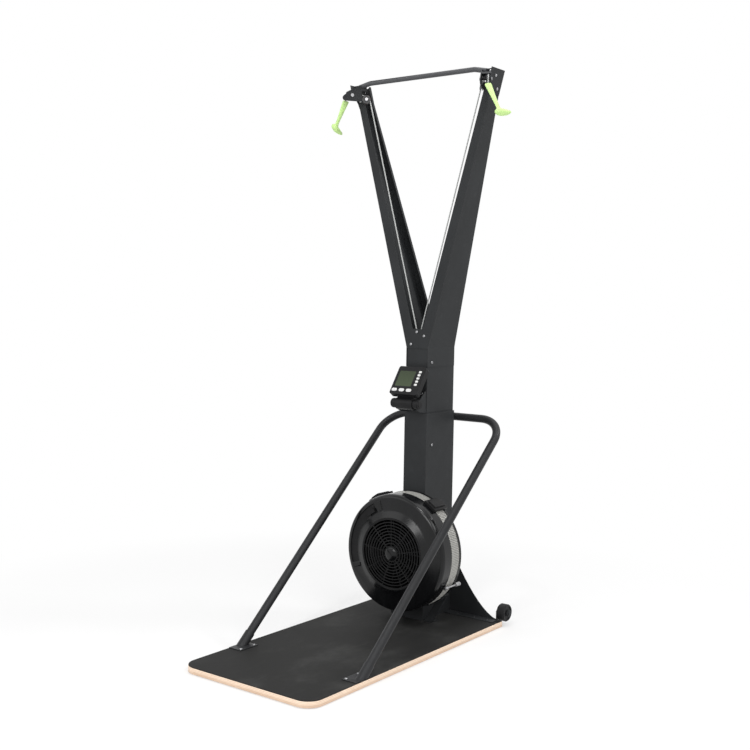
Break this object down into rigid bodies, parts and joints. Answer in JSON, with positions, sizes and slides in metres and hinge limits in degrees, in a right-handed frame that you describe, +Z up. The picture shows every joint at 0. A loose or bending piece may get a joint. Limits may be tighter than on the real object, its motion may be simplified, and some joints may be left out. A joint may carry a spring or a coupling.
{
  "type": "ski trainer machine",
  "caption": "Air resistance ski trainer with a plywood deck, sheet steel column and V arms, cord handles, a caged fan flywheel, a bent hand rail and a tilting monitor.",
  "frame": {"origin": "on the floor under the middle of the deck, at the bottom of its middle rubber pad", "axes": "+Z up; the user stands on the -Y half of the deck and faces +Y, towards the column; +X to the user's right"},
  "size_m": [0.8124, 1.261, 2.19],
  "materials": {
    "plywood": "clear lacquered birch plywood",
    "mat_rubber": "fine textured rubber",
    "pad_rubber": "matte",
    "powder_coat": "fine textured black powder coat",
    "rail_coat": "satin charcoal powder coat",
    "zinc": "zinc plated",
    "axle_steel": "ground",
    "gloss_housing": "moulded black, glossy",
    "moulded_black": "moulded black, satin",
    "silver_mesh": "silver perforated sheet",
    "wheel_alloy": "pressed aluminium",
    "nylon": "natural nylon",
    "cord": "braided",
    "lime_rubber": "soft lime green moulding",
    "wheel_rubber": "moulded wheel",
    "screen": "olive grey display",
    "button_white": "satin white"
  },
  "bodies": {
    "frame": {"platform_board": "plywood", "rubber_mat": "mat_rubber", "platform_feet": "pad_rubber", "foot_plate": "powder_coat", "wheel_brackets": "powder_coat", "lower_column": "powder_coat", "upper_column": "powder_coat", "column_screws": "zinc", "left_arm": "powder_coat", "right_arm": "powder_coat", "crossbar": "rail_coat", "left_head": "powder_coat", "right_head": "powder_coat", "left_outer_plate": "powder_coat", "right_outer_plate": "powder_coat", "head_bolts": "zinc", "left_drive_cord": "cord", "right_drive_cord": "cord", "left_pull_cord": "cord", "right_pull_cord": "cord", "cord_slot_cap": "moulded_black", "support_rail": "rail_coat", "rail_feet": "powder_coat", "rail_clamp": "powder_coat", "base_screws": "zinc", "fan_front_cover": "gloss_housing", "fan_grille": "moulded_black", "hub_cap": "gloss_housing", "perforated_band": "silver_mesh", "fan_back_cover": "gloss_housing", "band_clasps": "moulded_black", "cover_clamps": "zinc", "fan_bearings": "axle_steel", "axle_bracket": "powder_coat", "fan_cradle": "powder_coat", "monitor_bracket": "powder_coat", "battery_pod": "moulded_black"},
    "flywheel": {"fan_wheel": "wheel_alloy", "fan_axle": "axle_steel"},
    "damper": {"damper_ring": "moulded_black"},
    "left_grip": {"left_handle": "lime_rubber"},
    "right_grip": {"right_handle": "lime_rubber"},
    "left_front_pulley": {"left_pulley": "nylon"},
    "right_front_pulley": {"right_pulley": "nylon"},
    "left_corner_pulley": {"left_guide_pulley": "nylon"},
    "right_corner_pulley": {"right_guide_pulley": "nylon"},
    "left_cord_drum": {"left_drum": "wheel_alloy"},
    "right_cord_drum": {"right_drum": "wheel_alloy"},
    "left_transport_wheel": {"left_wheel": "wheel_rubber"},
    "right_transport_wheel": {"right_wheel": "wheel_rubber"},
    "monitor": {"monitor_housing": "moulded_black", "monitor_screen": "screen"},
    "menu_button_left_body": {"menu_button_left": "button_white"},
    "menu_button_middle_body": {"menu_button_middle": "button_white"},
    "menu_button_right_body": {"menu_button_right": "button_white"},
    "side_button_1_body": {"side_button_1": "button_white"},
    "side_button_2_body": {"side_button_2": "button_white"},
    "side_button_3_body": {"side_button_3": "button_white"},
    "side_button_4_body": {"side_button_4": "button_white"},
    "side_button_5_body": {"side_button_5": "button_white"}
  },
  "joints": [
    {"name": "flywheel_spin", "type": "hinge", "parent": "frame", "child": "flywheel", "pos_m": [0, 0.3175, 0.321], "axis": [0, 1, 0], "continuous": true},
    {"name": "damper_turn", "type": "hinge", "parent": "frame", "child": "damper", "pos_m": [0, 0.253, 0.321], "axis": [0, -1, 0], "range_deg": [0, 69]},
    {"name": "left_pull", "type": "slide", "parent": "frame", "child": "left_grip", "axis": [0, 0, -1], "range_m": [0, 1.2], "stiffness_N_per_m": 20, "springref_m": -1, "deforming": ["left_pull_cord"]},
    {"name": "left_front_pulley_turn", "type": "hinge", "parent": "frame", "child": "left_front_pulley", "pos_m": [-0.3268, 0.34261, 2.133], "axis": [0.8829, -0.4695, 0], "range_deg": [0, 4750]},
    {"name": "left_guide_pulley_turn", "type": "hinge", "parent": "frame", "child": "left_corner_pulley", "pos_m": [-0.27395, 0.38774, 2.12074], "axis": [0.6822, -0.7065, 0.1885], "range_deg": [0, 4750]},
    {"name": "left_drum_turn", "type": "hinge", "parent": "frame", "child": "left_cord_drum", "pos_m": [0, 0.469, 0.321], "axis": [0, -1, 0], "range_deg": [0, 2760]},
    {"name": "right_pull", "type": "slide", "parent": "frame", "child": "right_grip", "axis": [0, 0, -1], "range_m": [0, 1.2], "stiffness_N_per_m": 20, "springref_m": -1, "deforming": ["right_pull_cord"]},
    {"name": "right_front_pulley_turn", "type": "hinge", "parent": "frame", "child": "right_front_pulley", "pos_m": [0.3268, 0.34261, 2.133], "axis": [0.8829, 0.4695, 0], "range_deg": [0, 4750]},
    {"name": "right_guide_pulley_turn", "type": "hinge", "parent": "frame", "child": "right_corner_pulley", "pos_m": [0.27395, 0.38774, 2.12074], "axis": [0.6822, 0.7065, -0.1885], "range_deg": [0, 4750]},
    {"name": "right_drum_turn", "type": "hinge", "parent": "frame", "child": "right_cord_drum", "pos_m": [0, 0.425, 0.321], "axis": [0, -1, 0], "range_deg": [0, 2760]},
    {"name": "left_wheel_spin", "type": "hinge", "parent": "frame", "child": "left_transport_wheel", "pos_m": [-0.2915, 0.626, 0.055], "axis": [1, 0, 0], "continuous": true},
    {"name": "right_wheel_spin", "type": "hinge", "parent": "frame", "child": "right_transport_wheel", "pos_m": [0.2915, 0.626, 0.055], "axis": [1, 0, 0], "continuous": true},
    {"name": "monitor_tilt", "type": "hinge", "parent": "frame", "child": "monitor", "pos_m": [0, 0.32, 0.911], "axis": [1, 0, 0], "range_deg": [0, 25]},
    {"name": "menu_button_left_press", "type": "slide", "parent": "monitor", "child": "menu_button_left_body", "axis": [0, 0.8211, -0.5707], "range_m": [0, 0.001], "stiffness_N_per_m": 400, "springref_m": -0.001},
    {"name": "menu_button_middle_press", "type": "slide", "parent": "monitor", "child": "menu_button_middle_body", "axis": [0, 0.8211, -0.5707], "range_m": [0, 0.001], "stiffness_N_per_m": 400, "springref_m": -0.001},
    {"name": "menu_button_right_press", "type": "slide", "parent": "monitor", "child": "menu_button_right_body", "axis": [0, 0.8211, -0.5707], "range_m": [0, 0.001], "stiffness_N_per_m": 400, "springref_m": -0.001},
    {"name": "side_button_1_press", "type": "slide", "parent": "monitor", "child": "side_button_1_body", "axis": [0, 0.8211, -0.5707], "range_m": [0, 0.001], "stiffness_N_per_m": 400, "springref_m": -0.001},
    {"name": "side_button_2_press", "type": "slide", "parent": "monitor", "child": "side_button_2_body", "axis": [0, 0.8211, -0.5707], "range_m": [0, 0.001], "stiffness_N_per_m": 400, "springref_m": -0.001},
    {"name": "side_button_3_press", "type": "slide", "parent": "monitor", "child": "side_button_3_body", "axis": [0, 0.8211, -0.5707], "range_m": [0, 0.001], "stiffness_N_per_m": 400, "springref_m": -0.001},
    {"name": "side_button_4_press", "type": "slide", "parent": "monitor", "child": "side_button_4_body", "axis": [0, 0.8211, -0.5707], "range_m": [0, 0.001], "stiffness_N_per_m": 400, "springref_m": -0.001},
    {"name": "side_button_5_press", "type": "slide", "parent": "monitor", "child": "side_button_5_body", "axis": [0, 0.8211, -0.5707], "range_m": [0, 0.001], "stiffness_N_per_m": 400, "springref_m": -0.001}
  ],
  "couplings": [
    {"joint": "left_front_pulley_turn", "follows": "left_pull", "rad_per_m": 68.966},
    {"joint": "left_guide_pulley_turn", "follows": "left_pull", "rad_per_m": 68.966},
    {"joint": "left_drum_turn", "follows": "left_pull", "rad_per_m": 40},
    {"joint": "right_front_pulley_turn", "follows": "right_pull", "rad_per_m": 68.966},
    {"joint": "right_guide_pulley_turn", "follows": "right_pull", "rad_per_m": 68.966},
    {"joint": "right_drum_turn", "follows": "right_pull", "rad_per_m": 40}
  ]
}
